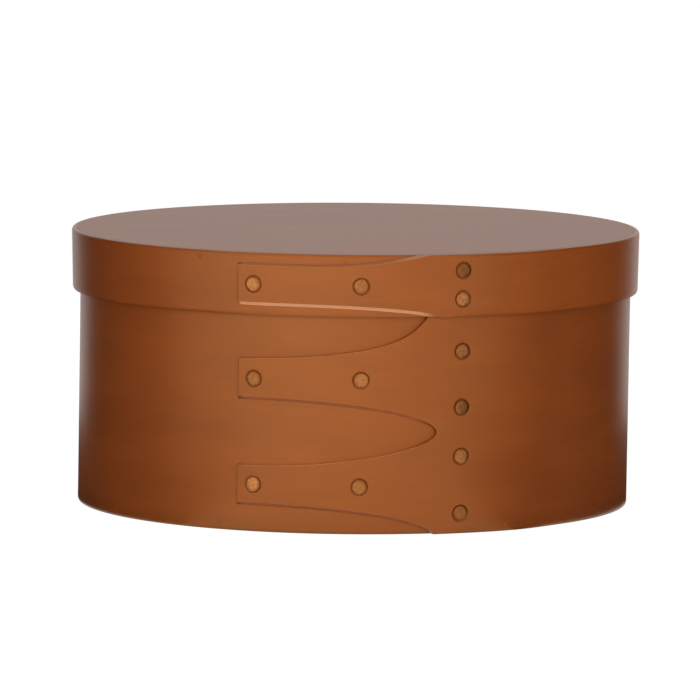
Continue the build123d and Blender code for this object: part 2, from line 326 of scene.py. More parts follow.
# Runs of the side lap's outline, from the top of the join round the fingers to its foot: points,
# kind of edge, bevel, share of painted highlight and share of painted shade
def sideOutline(hoop):
    bottom, top, join = hoop["bottom"], hoop["top"], hoop["joinPlace"]
    half = (hoop["fingerPitch"] - hoop["fingerWidth"]) / 2
    lowMiddle = hoop["fingerHeight"] - hoop["fingerPitch"] / 2 + hoop["cutRaise"]
    highMiddle = lowMiddle + hoop["fingerPitch"]
    upperTop = hoop["fingers"][1][1]
    sweep = sheetCurve(hoop, sideSweepShares, upperTop, top - upperTop)[::-1]
    archTop = sheetCurve(hoop, cutTopShares, highMiddle, half)[::-1]
    archFoot = sheetCurve(hoop, cutFootShares, highMiddle, -half)
    lowArch = clipAbove(sheetCurve(hoop, cutTopShares, lowMiddle, half)[::-1], bottom)
    bevel, leastBevel, upBevel = hoop["cutBevel"], hoop["tipBevel"], hoop["upwardBevel"]
    sweepTip, footTip = shadeAtTip(sweep, hoop["sweepShade"]), shadeAtTip(archFoot, hoop["archShade"])
    archFade, lowFade = fadeToTip(archTop, hoop["highlightFade"]), fadeToTip(lowArch, hoop["highlightFade"])
    upHighlight, paintedShade = hoop["upwardHighlight"], hoop["tipPaintedShade"]
    endRun = ("cut", hoop["endBevel"], 0.0, hoop["endPaintedShade"])
    return [
        (straight((join, top), sweep[0]), "top", 0.0, 0.0, 0.0),
        # Upward cuts: a painted highlight along them and painted shade near their tips. Downward
        # arches: a painted highlight on the bevel and painted shade at the tip.
        (sweep, "cut", upBevel, upHighlight * (1 - sweepTip), paintedShade * sweepTip),
        (straight(sweep[-1], archTop[0]), *endRun),
        (archTop, "cut", leastBevel + (bevel - leastBevel) * archFade,
         hoop["archHighlight"] * archFade, 1 - archFade),
        (archFoot, "cut", upBevel, upHighlight * (1 - footTip), paintedShade * footTip),
        (straight(archFoot[-1], lowArch[0]), *endRun),
        (lowArch, "cut", leastBevel + (bevel - leastBevel) * lowFade,
         hoop["archHighlight"] * lowFade, 1 - lowFade),
        (straight(lowArch[-1], (join, bottom)), "foot", 0.0, 0.0, hoop["footPaintedShade"]),
    ]


# The same for the lid's lap, round its one finger
def lidOutline(hoop):
    bottom, top, end, join = hoop["bottom"], hoop["top"], hoop["fingerEnd"], hoop["joinPlace"]
    fingerBottom, fingerTop = hoop["fingers"][0]
    upper = sheetCurve(hoop, lidUpperSweepShares, fingerTop, top - fingerTop)[::-1]
    lower = sheetCurve(hoop, lidLowerSweepShares, fingerBottom, bottom - fingerBottom)
    return [
        (straight((join, top), upper[0]), "top", 0.0, 0.0, 0.0),
        (upper, "cut", hoop["upwardBevel"], hoop["upwardHighlight"], hoop["upwardPaintedShade"]),
        (straight((end, fingerTop), (end, fingerBottom)), "cut", hoop["endBevel"], 0.0,
         hoop["endPaintedShade"]),
        # The lower cut's bevel: a painted highlight for light from the floor, over lighter sanded wood
        (lower, "cut", hoop["lowerCutBevel"], fadeToTip(lower, hoop["highlightFade"]), 0.0),
        (straight(lower[-1], (join, bottom)), "foot", 0.0, 0.0, hoop["footPaintedShade"]),
    ]


# Strips

stripMesh = {
    "roundingSteps": 4,
    "innerRounding": 0.12,
    "support": 0.35,           # face kept flat beside a rounding
    "crevice": 0.12,           # how far a cut goes into the layer below
    "cutWallShare": 0.7,       # of the thickness, where a cut's wall turns to its foot
    "highlightCutBack": 0.5,        # share of a bevel with painted highlight that is taken off the face
    "tipReach": 14.0,          # along which a rim grows out of a cut
    "endShadeReach": 0.65,       # painted shade beside a finger's end
    # Span of the painted shade beside a finger's end, in reaches
    "endShadeSpan": 5,
    "shadeHeight": 1.6,       # of the foot's painted shade, in widths of its rim's section
    "rows": 15,
    "rowGap": 0.3,             # from a finger's edge to the row on each side of it
    "rowClearance": 0.8,
    "tolerance": 0.01,
    "columnSpacing": 1.9,
    "scarfSpacing": 0.8,
    "fillSpacing": 2.0,
    "edgeClearance": 0.6,      # of the fill from the outline, in fill spacings
    "tackClearance": 0.6,
    "leastTurn": 0.02,
    "mergeDistance": 1e-5,
}

tackDent = {
    "radii": (4.5, 4.1, 3.9, 3.78, 3.7, 3.0, 1.4),
    "depths": (0.0, 0.02, 0.06, 0.16, 0.36, 0.36, 0.36),
    # Painted shade in the dent round each head
    "paintedShades": (0.0, 0.05, 0.25, 0.45, 0.55, 0.55, 0.55),
    "sides": 36,
}


# Share of painted shade at a height above the foot of a hoop, falling evenly to nothing
def footShade(height, support):
    return np.clip(1 - height / (stripMesh["shadeHeight"] * support), 0, 1)


# Insets, depths, bevel shares and painted shade of a section from face to underside. A rim is a
# quarter of an ellipse on both sides. A cut has one outside and ends sharp on the layer below, with
# painted shade growing down its wall.
def edgeProfiles(hoop):
    turn = np.linspace(0, pi / 2, stripMesh["roundingSteps"] + 1)
    thickness = hoop["thickness"]
    foot = thickness + stripMesh["crevice"]
    roundings = {
        "top": hoop["topRounding"], "foot": hoop["footRounding"], "cut": (hoop["rounding"],) * 2,
    }
    profiles = {}
    for kind, (rounding, reach) in roundings.items():
        support = reach + stripMesh["support"]
        roundInset, roundDepth = reach * (1 - np.sin(turn)), rounding * (1 - np.cos(turn))
        if kind != "cut":
            inner = stripMesh["innerRounding"]
            inset = np.concatenate([
                [support], roundInset, [0], inner / reach * roundInset[::-1], [support],
            ])
            backDepth = thickness - inner / rounding * roundDepth[::-1]
            between = (rounding + backDepth[0]) / 2
            depth = np.concatenate([[0], roundDepth, [between], backDepth, [thickness]])
            paintedShade = footShade(inset, support)
        else:
            low = np.linspace(stripMesh["cutWallShare"] * thickness, foot, len(turn))
            inset = np.concatenate([[support], roundInset, [0], 0 * low, [support]])
            depth = np.concatenate([[0], roundDepth, [thickness / 2], low, [foot]])
            paintedShade = np.clip(depth / rounding, 0, 1)
        share = np.clip((depth - rounding) / (foot - rounding), 0, 1)
        profiles[kind] = {"inset": inset, "depth": depth, "share": share, "paintedShade": paintedShade}
    return profiles


# An open line moved sideways, to its right, by an offset for each of its edges: a corner goes to
# where its two moved edges cross, and a point of a nearly straight run along their mean normal
def offsetLine(points, offsets):
    edge = np.diff(points, axis=0)
    edge /= np.linalg.norm(edge, axis=1)[:, None]
    normal = np.stack([edge[:, 1], -edge[:, 0]], axis=1)
    before, after = np.vstack([normal[:1], normal]), np.vstack([normal, normal[-1:]])
    first, second = np.append(offsets[:1], offsets), np.append(offsets, offsets[-1:])
    cross = before[:, 0] * after[:, 1] - before[:, 1] * after[:, 0]
    sharp = np.abs(cross) > stripMesh["leastTurn"]
    safe = np.where(sharp, cross, 1)
    x = (first * after[:, 1] - second * before[:, 1]) / safe
    z = (before[:, 0] * second - after[:, 0] * first) / safe
    mean = before + after
    mean /= np.linalg.norm(mean, axis=1)[:, None]
    flat = mean * ((first + second) / 2)[:, None]
    return points + np.where(sharp[:, None], np.stack([x, z], axis=1), flat)


# Which points lie in a closed polygon, by counting the edges that a level ray crosses
def insidePolygon(points, polygon):
    a, b = polygon, np.roll(polygon, -1, axis=0)
    above = (a[None, :, 1] > points[:, None, 1]) != (b[None, :, 1] > points[:, None, 1])
    run = np.where(b[:, 1] == a[:, 1], 1, b[:, 1] - a[:, 1])
    crossing = a[:, 0] + (points[:, None, 1] - a[:, 1]) * (b[:, 0] - a[:, 0]) / run
    return (above & (points[:, None, 0] < crossing)).sum(axis=1) % 2 == 1


# 1 on the right and back of a strip where light is painted into its wood, and 0 on its lap and
# left: one half cosine that rises less one that falls
def sideLightShare(hoop, place):
    if hoop["paintedSideLight"] is None:
        return 0 * place
    start, rise, end, fall = hoop["paintedSideLight"]
    return ease((place - start) / rise) - ease((place - end) / fall)


# Places of the strip's columns from the join round to the feathered end, closer together on the
# scarf and beside the finger end, where shade is painted. The feather ends where the scarf's half
# cosine leaves its thickness.
def stripColumns(hoop):
    turn = 2 * pi * hoop["lapRadius"]
    fingerEnd = turn + hoop["fingerEnd"]
    start, length = hoop["scarfStart"], hoop["scarfLength"]
    featherDrop = hoop["thickness"] - hoop["featherThickness"]
    featherShare = np.arccos(1 - 2 * featherDrop / hoop["step"]) / pi
    reach = stripMesh["endShadeReach"]
    stops = (
        hoop["joinPlace"], start + length, fingerEnd - stripMesh["endShadeSpan"] * reach,
        fingerEnd + reach, turn + start, turn + start + featherShare * length,
    )
    wide, narrow = stripMesh["columnSpacing"], stripMesh["scarfSpacing"]
    columns = [stops[:1]]
    for first, last, spacing in zip(stops, stops[1:], (narrow, wide, reach / 2, wide, narrow)):
        columns.append(np.linspace(first, last, int((last - first) / spacing) + 1)[1:])
    return np.concatenate(columns)


# Heights of the rows between two rims, evenly, with a row on each side of the fingers' edges
def stripRows(hoop, low, high):
    gap = stripMesh["rowGap"]
    corners = np.add.outer(np.array(hoop["fingers"]).ravel(), (-gap, gap)).ravel()
    spread = np.linspace(low, high, stripMesh["rows"] + 2)[1:-1]
    clear = np.abs(spread[:, None] - corners).min(axis=1) > stripMesh["rowClearance"]
    return np.sort(np.concatenate([spread[clear], corners]))


# The lap's edge section carried along its outline: each edge's section is moved out from the
# outline by its bevel share less its inset. Gives a row of points for each outline point, and
# their depths, painted shade and painted highlight shares.
def edgeRings(hoop, runs, profiles):
    topRim, footRim, cut = profiles["top"], profiles["foot"], profiles["cut"]
    outline = np.vstack([runs[0][0][:1]] + [run[0][1:] for run in runs])
    kinds = np.concatenate([[run[1]] * (len(run[0]) - 1) for run in runs])
    bevels, paintedHighlights, paintedShades = [
        np.concatenate([np.broadcast_to(run[at], len(run[0]) - 1) for run in runs]) for at in (2, 3, 4)
    ]
    fromTip = np.concatenate([run[0][1:, 0] - run[0][:, 0].min() for run in runs])
    rimShare = (kinds != "cut") * ease(fromTip / stripMesh["tipReach"])
    section = {}
    for name in cut:
        rim = np.where((kinds == "top")[:, None], topRim[name], footRim[name])
        section[name] = cut[name] + rimShare[:, None] * (rim - cut[name])
    out = section["share"] - stripMesh["highlightCutBack"] * paintedHighlights[:, None]
    moves = out * bevels[:, None] - section["inset"]
    rings = np.stack([offsetLine(outline, moves[:, at]) for at in range(moves.shape[1])], axis=1)
    rings[..., 1] = np.clip(rings[..., 1], hoop["bottom"], hoop["top"])
    values = (
        section["depth"], section["paintedShade"] * paintedShades[:, None], paintedHighlights[:, None] * (section["depth"] > 0),
    )
    means = [(np.vstack([edges[:1], edges]) + np.vstack([edges, edges[-1:]])) / 2 for edges in values]
    return rings, *means


# Circles of points round each tack, with the depths and painted shade of its dent
def dentRings(tacks):
    angle = np.arange(tackDent["sides"]) * 2 * pi / tackDent["sides"]
    circle = np.stack([np.cos(angle), np.sin(angle)], axis=1)
    radii = np.array(tackDent["radii"])
    points = tacks[:, None, None] + radii[None, :, None, None] * circle
    depth, paintedShade = [
        np.broadcast_to(np.array(tackDent[name])[None, :, None], points.shape[:3]).reshape(-1)
        for name in ("depths", "paintedShades")
    ]
    return points.reshape(-1, 2), depth, paintedShade


# Triangles that fill a closed border with points inside it, all turned the same way. The last of
# the points are rings, kept as edges. Output type 1 leaves out what is outside the border.
def fillTriangles(polygon, interior, ringCount):
    flat = np.vstack([polygon, interior])
    loop, sides = np.arange(len(polygon)), np.arange(tackDent["sides"])
    starts = len(flat) - len(sides) * np.arange(ringCount, 0, -1)[:, None]
    border = np.stack([loop, np.roll(loop, -1)], axis=1)
    ringEdges = np.stack([starts + sides, starts + np.roll(sides, -1)], axis=-1).reshape(-1, 2)
    made = delaunay_2d_cdt(
        [Vector(point) for point in flat.tolist()],
        np.vstack([border, ringEdges]).tolist(), [loop.tolist()], 1, stripMesh["mergeDistance"],
    )
    origin = np.array([first[0] for first in made[3]])
    triangles = origin[np.array(made[2])]
    corner = flat[triangles]
    legs = corner[:, 1:] - corner[:, :1]
    area = legs[:, 0, 0] * legs[:, 1, 1] - legs[:, 0, 1] * legs[:, 1, 0]
    return np.where((area < 0)[:, None], triangles[:, ::-1], triangles)


# One strip as a closed surface. Behind the cuts its section, a rounded rectangle, is carried round
# the hoop as a grid. The lap is filled in the flat pattern inside its outline, whose edge section
# is carried along.
def stripShape(hoop, runs):
    profiles = edgeProfiles(hoop)
    topRim, footRim = profiles["top"], profiles["foot"]
    sections = len(topRim["inset"])
    bottom, top = hoop["bottom"], hoop["top"]

    # Grid of the bent strip
    columns = stripColumns(hoop)
    low, high = bottom + footRim["inset"][0], top - topRim["inset"][0]
    rowHeights = stripRows(hoop, low, high)
    rows = len(rowHeights)
    loopHeight = np.concatenate([
        [low], rowHeights, top - topRim["inset"], rowHeights[::-1],
        (bottom + footRim["inset"])[:0:-1],
    ])
    loopDepth = np.concatenate([
        np.zeros(rows + 1), topRim["depth"], np.full(rows, hoop["thickness"]),
        footRim["depth"][:0:-1],
    ])
    loopSize = len(loopHeight)
    gridPlace = np.repeat(columns, loopSize)
    gridHeight = np.tile(loopHeight, len(columns))
    gridDepth = np.tile(loopDepth, len(columns))
    index = np.arange(len(columns) * loopSize).reshape(len(columns), loopSize)

    # Painted shade beside the finger ends, less by the same share at each equal step, and painted
    # shade at the foot
    fingerEnd = 2 * pi * hoop["lapRadius"] + hoop["fingerEnd"]
    away = np.abs((fingerEnd - gridPlace) / stripMesh["endShadeReach"])
    beside = [(gridHeight > foot) & (gridHeight < head) for foot, head in hoop["fingers"]]
    gridShade = np.exp(-away) * np.any(beside, axis=0) * (gridDepth == 0)
    atFoot = gridHeight < low + stripMesh["tolerance"]
    shade = footShade(gridHeight - bottom, low - bottom) * atFoot
    gridShade = np.maximum(gridShade, hoop["footPaintedShade"] * shade)

    # Wall round the lap, joined to the grid's first column at both ends
    rings, ringDepth, ringShade, ringHighlight = edgeRings(hoop, runs, profiles)
    wallCount = len(rings) - 2
    wallStart = index.size
    wallIndex = np.empty((len(rings), sections), int)
    wallIndex[1:-1] = wallStart + np.arange(wallCount * sections).reshape(wallCount, sections)
    wallIndex[0] = rows + 1 + np.arange(sections)
    wallIndex[-1] = (loopSize - np.arange(sections)) % loopSize
    wallQuads = np.stack([
        wallIndex[:-1, :-1], wallIndex[:-1, 1:], wallIndex[1:, 1:], wallIndex[1:, :-1],
    ], axis=-1).reshape(-1, 4)

    # Fill of the lap: a grid of points, and the rings pressed in round each tack
    joinRows = np.stack([np.full(rows, hoop["joinPlace"]), rowHeights], axis=1)
    polygon = np.vstack([rings[:, 0], joinRows])
    spacing = stripMesh["fillSpacing"]
    fillPlaces = np.arange(hoop["fingerEnd"], hoop["joinPlace"], spacing)
    fill = np.stack(np.meshgrid(fillPlaces, np.arange(bottom, top, spacing)), axis=-1).reshape(-1, 2)
    tacks = np.array(hoop["tackPlaces"])
    fromTack = np.linalg.norm(fill[:, None] - tacks, axis=2).min(axis=1)
    fromEdge = np.linalg.norm(fill[:, None] - polygon, axis=2).min(axis=1)
    clear = fromTack >= tackDent["radii"][0] + stripMesh["tackClearance"]
    clear &= fromEdge >= stripMesh["edgeClearance"] * spacing
    fill = fill[insidePolygon(fill, polygon) & clear]
    dents, dentDepth, dentShade = dentRings(tacks)
    interior = np.vstack([fill, dents])
    triangles = fillTriangles(polygon, interior, len(tacks) * len(tackDent["radii"]))

    # Face and underside of the lap, and all points and faces together
    faceStart = wallStart + wallCount * sections
    inside = np.arange(len(interior))
    faceIds = np.concatenate([wallIndex[:, 0], 1 + np.arange(rows), faceStart + inside])
    underIds = np.concatenate([
        wallIndex[:, -1], 2 * rows + sections - np.arange(rows), faceStart + len(interior) + inside,
    ])
    wallPoints = rings[1:-1].reshape(-1, 2)
    flat, under = np.zeros(len(fill)), np.zeros(len(interior))
    place = np.concatenate([gridPlace, wallPoints[:, 0], interior[:, 0], interior[:, 0]])
    height = np.concatenate([gridHeight, wallPoints[:, 1], interior[:, 1], interior[:, 1]])
    depth = np.concatenate([
        gridDepth, ringDepth[1:-1].reshape(-1), flat, dentDepth, under + hoop["thickness"],
    ])
    # Painted shade and painted highlights of all points
    paintedShade = np.concatenate([gridShade, ringShade[1:-1].reshape(-1), flat, dentShade, under])
    paintedHighlight = np.concatenate([0 * gridPlace, ringHighlight[1:-1].reshape(-1), under, under])
    faces = closedQuads(index) + wallQuads.tolist() + [index[-1][::-1].tolist()]
    faces += faceIds[triangles].tolist() + underIds[triangles[:, ::-1]].tolist()
    return {
        "vertices": bend(hoop, place, depth, height),
        "faces": faces,
        "uv": np.stack([place, height], axis=1) * millimetre,
        "values": {"paintedShade": paintedShade, "paintedHighlight": paintedHighlight, "paintedSideLight": sideLightShare(hoop, place)},
    }


# Puts a shape into a mesh with its map and values, and sets it on its body
def addPiece(name, shape, material, slot, body, *replaced):
    mesh = bpy.data.meshes.new(name)
    mesh.from_pydata(shape["vertices"].tolist(), [], shape["faces"])
    mesh.shade_smooth()
    corners = np.empty(len(mesh.loops), int)
    mesh.loops.foreach_get("vertex_index", corners)
    if "uv" in shape:
        layer = mesh.uv_layers.new(name="stripMap")
        layer.uv.foreach_set("vector", shape["uv"][corners].astype(np.float32).ravel())
    for value, numbers in shape.get("values", {}).items():
        layer = mesh.attributes.new(value, "FLOAT", "POINT")
        layer.data.foreach_set("value", numbers.astype(np.float32))
    mesh.materials.append(material)
    piece = addObject(name, mesh)
    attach(piece, body)
    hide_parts(*replaced)


# Boards

boardMesh = {"sides": 192, "rings": 14, "edgeBand": 1.0, "softEdge": 0.08, "clearance": 0.02}


# A round board in its hoop: circles of points, evenly from the middle to a softened edge
def boardShape(hoop):
    low, high = nodeBox(hoop["board"])
    edge = hoop["innerRadius"] - boardMesh["clearance"]
    soft = boardMesh["softEdge"]
    across = np.linspace(0, edge - boardMesh["edgeBand"], boardMesh["rings"] + 1)[1:]
    radii = np.concatenate([across, [edge - soft, edge, edge, edge - soft], across[::-1]])
    top, bottom = np.full(len(across), high[2]), np.full(len(across), low[2])
    turn = [high[2], high[2] - soft, low[2] + soft, low[2]]
    heights = np.concatenate([top, turn, bottom])
    sides = boardMesh["sides"]
    bearing = np.arange(sides) * 2 * pi / sides
    grid = setOut(hoop, bearing[None, :], radii[:, None], heights[:, None]).reshape(-1, 3)
    poles = np.stack([setOut(hoop, 0, 0, high[2]), setOut(hoop, 0, 0, low[2])])
    index = np.arange(len(radii) * sides).reshape(len(radii), sides)
    return {"vertices": np.vstack([grid, poles]), "faces": closedQuads(index) + poleCaps(index)}


# Tacks and pegs

outOfRound = ((2, 1.0, 1), (5, 0.7, 2))    # lobes, share, and turns of the phase


# A profile turned about an upright axis, closed at both poles. The radius is uneven by a few
# cosine lobes, and the height grows across by the tilt.
def turnedShape(radii, heights, sides, unevenness, phase, tilt=(0.0, 0.0)):
    angle = np.arange(sides) * 2 * pi / sides
    lobes = sum(share * np.cos(count * angle + turns * phase) for count, share, turns in outOfRound)
    uneven = 1 + unevenness * lobes
    radii, heights = np.array(radii, float), np.array(heights, float)
    x = radii[:, None] * uneven * np.cos(angle)
    y = radii[:, None] * uneven * np.sin(angle)
    z = heights[:, None] + tilt[0] * x + tilt[1] * y
    poles = [(0, 0, heights[0]), (0, 0, heights[-1])]
    index = np.arange(len(radii) * sides).reshape(len(radii), sides)
    points = np.vstack([np.stack([x, y, z], axis=-1).reshape(-1, 3), poles])
    return points, closedQuads(index) + poleCaps(index)


tackValues = {
    "headSides": 28,
    "radii": (0.7, 1.4, 2.0, 2.45, 2.8, 3.05, 3.2, 3.28, 3.25, 1.9),
    "heights": (0.36, 0.35, 0.33, 0.285, 0.21, 0.1, -0.03, -0.18, -0.42, -0.42),
    "unevenness": 0.012,
    "phaseStep": 1.7,
    "hammerWaves": ((0.02, (1.9, 1.1), 3), (0.015, (-1.3, 2.3), 5)),    # depth, wave, phase turns
    # Painted shade darkening each head towards its rim, off centre
    "rimShade": 0.35,
    "rimShadeReach": (2.2, 3.0),
    "rimShadeShift": 0.4,
    "rimShadeTurn": 2.4,
    "shankSides": 8,
    "shankTop": -0.2,
    "shankHalfWidth": 0.75,
    # Rows of the shank where it bends over: place in half widths and in lengths of the point, then
    # height over the underside and half width, both in half widths
    "bendRows": (
        (0.0, 0.0, 2.0, 1.0),
        (0.15, 0.0, 1.2, 1.0),
        (0.7, 0.0, 0.85, 0.85),
        (0.0, 0.4, 0.62, 0.62),
        (0.0, 0.75, 0.42, 0.42),
    ),
    "pointLength": 3.8,
    "pointTipHalfWidth": 0.18,
    "pointTipLift": 0.08,
    "pointProud": 0.12,
}

# Each head in the order of the tack nodes: tilt to the right and up, shift in its dent to the
# right and up, lift and darkness, which is patina and painted dark reflection
sideTackLooks = (
    (0.00, 0.02, 0.00, 0.00, 0.00, 0.39),
    (0.02, -0.05, 0.04, 0.05, 0.02, 0.10),
    (-0.03, 0.03, 0.06, 0.14, 0.05, 0.22),
    (0.03, 0.00, 0.00, 0.06, 0.00, 0.37),
    (0.02, 0.06, 0.00, 0.12, 0.03, 0.56),
    (0.03, 0.02, 0.00, 0.04, 0.02, 0.25),
    (-0.06, 0.05, 0.06, -0.04, 0.00, 0.50),
    (0.00, 0.03, 0.04, 0.06, 0.00, 0.36),
)
lidTackLooks = (
    (-0.03, -0.03, -0.14, -0.06, 0.02, 0.12),
    (0.00, 0.00, 0.00, 0.00, 0.00, 0.30),
    (-0.02, 0.00, -0.10, -0.08, 0.04, 0.00),
    (0.02, 0.05, 0.00, 0.00, -0.10, 0.62),
)


# A head turned from its profile with two slanted cosine waves hammered into it, and a shank whose
# round section is carried along a path that bends over and is drawn out to a point
def tackShape(hoop, place, height, look, phase):
    tiltRight, tiltUp, shiftRight, shiftUp, lift, patinaAndShade = look
    head, faces = turnedShape(
        tackValues["radii"], np.array(tackValues["heights"]) + lift, tackValues["headSides"],
        tackValues["unevenness"], phase, (tiltRight, tiltUp),
    )
    across, outside = head[:, :2].copy(), head[:, 2] > 0
    head[:, :2] += (shiftRight, shiftUp)
    for depth, wave, turns in tackValues["hammerWaves"]:
        head[:, 2] += depth * np.cos(across @ np.array(wave) + phase * turns) * outside

    half, tipHalf = tackValues["shankHalfWidth"], tackValues["pointTipHalfWidth"]
    underside = -hoop["lapThickness"] - tackValues["pointProud"]
    length = tackValues["pointLength"]
    byWidth, byLength, up, wide = np.array(tackValues["bendRows"]).T
    bent = np.stack([-byWidth * half - byLength * length, underside + up * half], axis=1)
    tip = (-length, underside + tipHalf + tackValues["pointTipLift"])
    path = np.vstack([(0, tackValues["shankTop"]), bent, tip])
    halves = np.concatenate([[half], wide * half, [tipHalf]])
    slope = np.gradient(path, axis=0)
    slope /= np.linalg.norm(slope, axis=1)[:, None]
    sides = tackValues["shankSides"]
    angle = (np.arange(sides) + 0.5) * 2 * pi / sides
    normal = np.stack([slope[:, 1], -slope[:, 0]], axis=1)
    x = path[:, None, 0] + halves[:, None] * normal[:, None, 0] * np.cos(angle)
    z = path[:, None, 1] + halves[:, None] * normal[:, None, 1] * np.cos(angle)
    y = halves[:, None] * np.sin(angle) + 0 * x
    shank = np.stack([x, y, z], axis=-1).reshape(-1, 3)
    index = np.arange(len(shank)).reshape(-1, sides) + len(head)
    faces = faces + closedQuads(index) + [index[0].tolist(), index[-1][::-1].tolist()]

    # Painted shade from a circle, set off to one side, out to the rim
    points = np.vstack([head, shank])
    near, far = tackValues["rimShadeReach"]
    turned = tackValues["rimShadeTurn"] * phase
    shift = tackValues["rimShadeShift"] * np.array([cos(turned), sin(turned)])
    outward = np.linalg.norm(points[:, :2] - (shiftRight, shiftUp) - shift, axis=1)
    edge = ease((outward - near) / (far - near)) * tackValues["rimShade"]
    return {
        "vertices": bend(hoop, place + points[:, 0], -points[:, 2], height + points[:, 1]),
        "faces": faces,
        "values": {"patinaAndShade": patinaAndShade + (1 - patinaAndShade) * edge},
    }


pegValues = {
    "count": 12,
    "sides": 10,
    "radii": (0.55, 0.9, 1.0, 0.7),
    "heights": (0.03, 0.02, -0.03, -11.9),
    "middleDepth": 6.0,
    "unevenness": 0.03,
    "phaseStep": 0.9,
}


# A tapered peg turned from its profile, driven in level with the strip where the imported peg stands
def pegShape(hoop, node, phase):
    low, high = nodeBox(node)
    middle = (low + high) / 2
    away = middle[:2] - hoop["centre"]
    bearing = np.arctan2(away[0], -away[1])
    between = (hoop["lapRadius"] + hoop["outerRadius"]) / 2
    onLap = np.linalg.norm(away) > between - pegValues["middleDepth"]
    surface = hoop["lapRadius"] if onLap else hoop["outerRadius"]
    points, faces = turnedShape(
        pegValues["radii"], pegValues["heights"], pegValues["sides"], pegValues["unevenness"], phase,
    )
    spun = bearing + points[:, 0] / surface
    radius = surface + points[:, 2]
    return {"vertices": setOut(hoop, spun, radius, middle[2] + points[:, 1]), "faces": faces}


# Materials

# Each figure of the wood is noise, with its length and width in millimetres, detail, roughness and
# distortion, then the range of it that shows and how much. The lines and flecks are coarser than
# in real maple, so that they show.
stripLook = {
    "light": "a65221",
    "dark": "9b4c1e",
    "paintedSideLight": "ae5620",
    "streak": "8a3f18",
    "fleck": "7c3612",
    "paintedHighlight": "fcb988",
    "shadeTint": "74390f",
    "clouds": (60.0, 18.0, 2.0, 0.5, 0.4),
    "cloudRange": (0.3, 0.7),
    "streaks": (45.0, 2.6, 3.0, 0.55, 0.3),
    "streakRange": (0.35, 0.75),
    "streakAmount": 0.22,
    "lines": (16.0, 0.55, 2.0, 0.5, 0.0),
    "lineRange": (0.4, 0.8),
    "lineAmount": 0.16,
    "flecks": (2.4, 0.35, 1.0, 0.5, 0.0),
    "fleckRange": (0.64, 0.74),
    "fleckAmount": 0.25,
    "grainAngle": 0.0,
    "shift": (0.0, 0.0, 0.0),
    "relief": 0.008,
    "sheen": "fff3ad",
    "roughness": 0.38,
    "ior": 1.62,
}
boardLook = dict(
    stripLook, light="ac602b", dark="a05824", streak="8f4a1d", fleck="804017",
    clouds=(110.0, 22.0, 2.0, 0.5, 0.6), streaks=(90.0, 4.5, 3.0, 0.55, 0.8),
    grainAngle=0.05, shift=(0.3, 0.1, 0.0), sheen="fff2dc", ior=1.22,
)
pegLook = dict(boardLook, light="a85d29", dark="9c5522")


# Stained maple under satin varnish: even and warm, with faint streaks along the grain. The varnish
# gives a broad soft sheen that turns pale only at a glance. A bent strip also has painted highlights
# on some bevels, painted shade in its corners, cuts and foot, and painted light round its right and
# back, by the values on its points.
def woodMaterial(name, look, mapName=None):
    material = bpy.data.materials.new(name)
    tree = emptyTree(material)
    if mapName:
        source = addNode(tree, "ShaderNodeUVMap", uv_map=mapName).outputs["UV"]
    else:
        source = addNode(tree, "ShaderNodeTexCoord").outputs["Object"]
    turned = addNode(tree, "ShaderNodeMapping", {
        "Vector": source, "Rotation": (0, 0, look["grainAngle"]), "Location": look["shift"],
    }).outputs["Vector"]
    figures = {}
    for figure in ("clouds", "streaks", "lines", "flecks"):
        length, width, detail, roughness, distortion = look[figure]
        scaled = addNode(tree, "ShaderNodeMapping", {
            "Vector": turned, "Scale": [1 / (size * millimetre) for size in (length, width, width)],
        }).outputs["Vector"]
        figures[figure] = addNode(tree, "ShaderNodeTexNoise", {
            "Vector": scaled, "Scale": 1.0, "Detail": detail, "Roughness": roughness,
            "Distortion": distortion,
        }).outputs["Fac"]

    clouded = addNode(tree, "ShaderNodeMapRange", {
        "Value": figures["clouds"],
        "From Min": look["cloudRange"][0], "From Max": look["cloudRange"][1],
    }).outputs["Result"]
    colour = addNode(tree, "ShaderNodeMix", {
        0: clouded, 6: linearColour(look["dark"]), 7: linearColour(look["light"]),
    }, data_type="RGBA").outputs[2]
    layers = [
        ("streaks", "streakRange", "streakAmount", "streak"),
        ("lines", "lineRange", "lineAmount", "streak"),
        ("flecks", "fleckRange", "fleckAmount", "fleck"),
    ]
    marks = [
        (addNode(tree, "ShaderNodeMapRange", {
            "Value": figures[figure], "From Min": look[limits][0], "From Max": look[limits][1],
            "To Max": look[amount],
        }).outputs["Result"], tint)
        for figure, limits, amount, tint in layers
    ]
    # Painted light round the strip's right and back, painted highlights on bevels, and painted shade
    # in corners, cuts and foot
    if mapName:
        paintedSideLight, paintedHighlight, paintedShade = [
            addNode(tree, "ShaderNodeAttribute", attribute_name=value).outputs["Fac"]
            for value in ("paintedSideLight", "paintedHighlight", "paintedShade")
        ]
        marks = [(paintedSideLight, "paintedSideLight"), *marks, (paintedHighlight, "paintedHighlight"), (paintedShade, "shadeTint")]
    for share, tint in marks:
        colour = addNode(tree, "ShaderNodeMix", {
            0: share, 6: colour, 7: linearColour(look[tint]),
        }, data_type="RGBA").outputs[2]
    relief = addNode(tree, "ShaderNodeBump", {
        "Height": figures["lines"], "Strength": 1.0, "Distance": look["relief"] * millimetre,
    }).outputs["Normal"]
    shader = addNode(tree, "ShaderNodeBsdfPrincipled", {
        "Base Color": colour, "Roughness": look["roughness"], "IOR": look["ior"],
        "Specular Tint": linearColour(look["sheen"]), "Normal": relief,
    })
    addNode(tree, "ShaderNodeOutputMaterial", {"Surface": shader.outputs["BSDF"]})
    return material


copperLook = {
    "bright": "cc884f",
    "dark": "5c3010",
    "tarnish": "8a4c22",
    "mottle": 0.5,
    "mottleRange": (0.42, 0.62),
    "markMm": 0.9,
    "markDetail": 2.0,
    "relief": 0.03,
    "roughness": 0.48,
}


